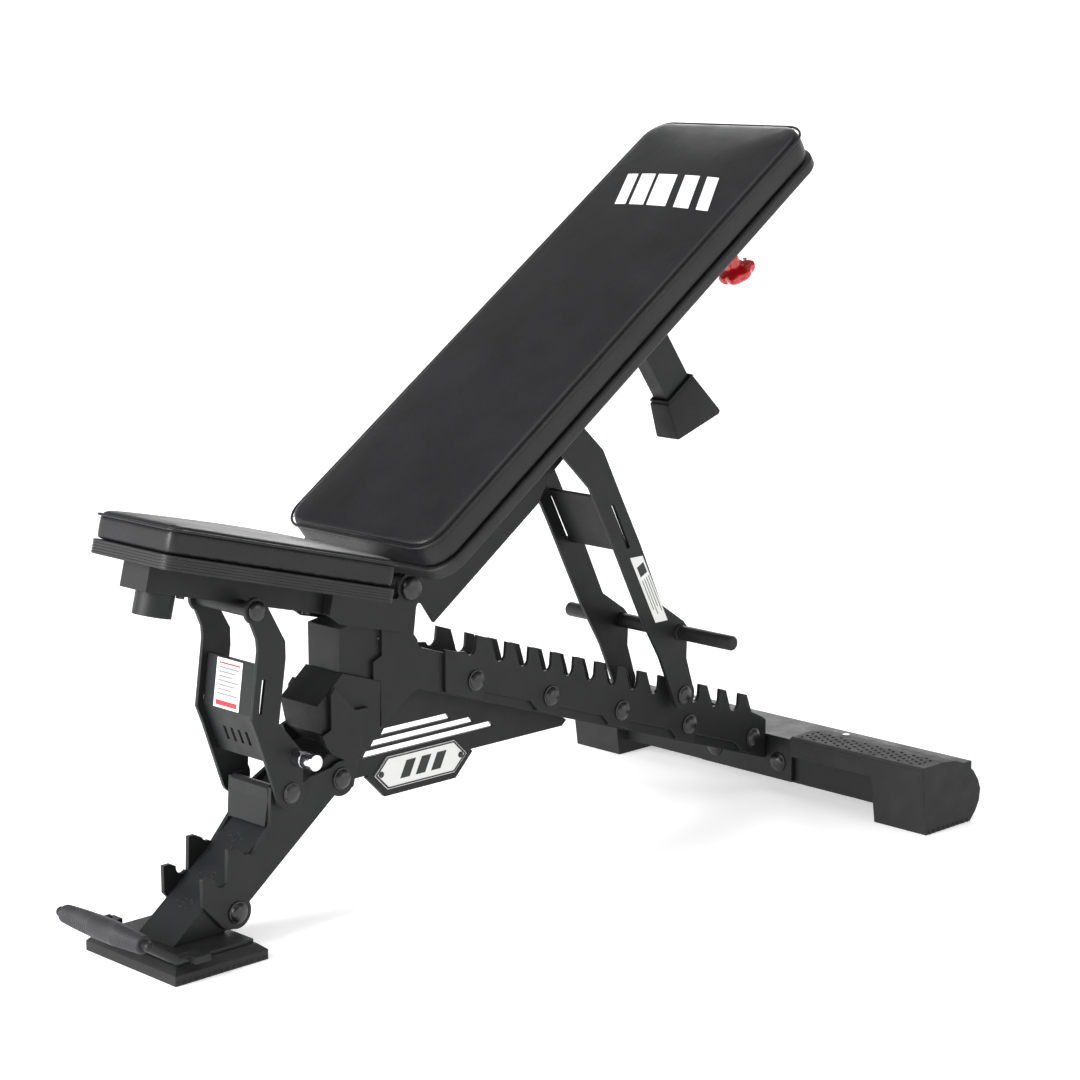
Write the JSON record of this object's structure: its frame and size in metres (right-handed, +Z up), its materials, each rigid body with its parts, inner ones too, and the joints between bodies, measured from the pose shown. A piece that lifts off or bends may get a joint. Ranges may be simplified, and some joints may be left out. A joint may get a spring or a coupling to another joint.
{
  "type": "adjustable weight bench",
  "caption": "Weight bench with a tapered seat and a long back pad, each held by a swinging strut whose pins rest in hooks or notches of a sloping frame.",
  "frame": {"origin": "on the floor, at the middle of the bench's bounding box", "axes": "+X along the bench from the seat end to the rear crossbar, +Y across, to the left when facing +X, +Z up"},
  "size_m": [1.2337, 0.664, 0.946],
  "materials": {
    "black_steel": "fine-textured black powder coat",
    "black_hardware": "glossy black",
    "zinc_screw": "zinc plated",
    "chrome_rod": "polished",
    "bar_grip": "satin",
    "foot_rubber": "matte",
    "grip_rubber": "ribbed, matte",
    "pad_cover": "grained black imitation leather over foam",
    "pad_board": "black covered board",
    "white_label": "printed film",
    "red_knob": "glossy red",
    "black_plastic": "moulded"
  },
  "bodies": {
    "frame": {"front_foot_pad": "foot_rubber", "front_foot_plate": "black_steel", "handle_loop": "black_steel", "handle_grip": "grip_rubber", "leg_tube": "black_steel", "leg_plates": "black_steel", "leg_shield": "black_steel", "leg_bolts": "black_hardware", "post_tube": "black_steel", "gusset_plates": "black_steel", "hinge_axle": "black_hardware", "hinge_bushes": "black_plastic", "beam_tube": "black_steel", "ladder_plates": "black_steel", "ladder_teeth_left": "black_steel", "ladder_teeth_right": "black_steel", "ladder_bolts": "black_hardware", "web_plate": "black_steel", "name_plate": "white_label", "name_plate_rivets": "black_hardware", "rear_bracket": "black_steel", "rear_bracket_bolts": "black_hardware", "rear_crossbar": "black_steel", "rear_foot_left": "foot_rubber", "rear_foot_right": "foot_rubber", "rear_foot_screws": "zinc_screw"},
    "seat": {"seat_tube": "black_steel", "seat_tube_cap": "black_plastic", "accessory_socket": "black_steel", "seat_hinge_plates": "black_steel", "seat_pivot_tube": "black_steel", "seat_band": "pad_board", "seat_cushion": "pad_cover", "seat_screws": "black_hardware"},
    "seat_strut": {"seat_strut_left": "black_steel", "seat_strut_right": "black_steel", "seat_strut_web": "black_steel", "seat_strut_rod": "chrome_rod", "seat_strut_pins": "black_hardware", "seat_strut_axle": "black_hardware", "seat_strut_label": "white_label"},
    "back": {"back_tube": "black_steel", "back_hinge_plates": "black_steel", "back_pivot_tube": "black_steel", "back_board": "pad_board", "back_cushion": "pad_cover", "back_screws": "black_hardware", "bumper_post": "black_steel", "bumper_cap": "foot_rubber", "pin_housing": "black_hardware", "pin_spring": "zinc_screw"},
    "pull_pin": {"pull_knob": "red_knob", "pull_shaft": "zinc_screw"},
    "back_strut": {"back_strut_left": "black_steel", "back_strut_right": "black_steel", "back_strut_web": "black_steel", "back_strut_bar": "bar_grip", "back_strut_pins": "black_hardware", "back_strut_axle": "black_hardware", "back_strut_label": "white_label"}
  },
  "joints": [
    {"name": "backrest_tilt", "type": "hinge", "parent": "frame", "child": "back", "pos_m": [-0.165, 0, 0.396], "axis": [0, -1, 0], "range_deg": [-35, 40]},
    {"name": "back_strut_swing", "type": "hinge", "parent": "back", "child": "back_strut", "pos_m": [0.08075, 0, 0.56807], "axis": [0, -1, 0], "range_deg": [-60, 53]},
    {"name": "seat_tilt", "type": "hinge", "parent": "frame", "child": "seat", "pos_m": [-0.165, 0, 0.396], "axis": [0, -1, 0], "range_deg": [0, 21.6]},
    {"name": "seat_strut_swing", "type": "hinge", "parent": "seat", "child": "seat_strut", "pos_m": [-0.41573, 0, 0.40831], "axis": [0, -1, 0], "range_deg": [-48, 0.2]},
    {"name": "pull_pin_slide", "type": "slide", "parent": "back", "child": "pull_pin", "axis": [0.5736, 0, -0.8192], "range_m": [0, 0.009], "stiffness_N_per_m": 1200, "springref_m": -0.004}
  ],
  "couplings": [
    {"joint": "back_strut_swing", "follows": "backrest_tilt", "ratio": -1.49},
    {"joint": "seat_strut_swing", "follows": "seat_tilt", "ratio": -2.2}
  ]
}
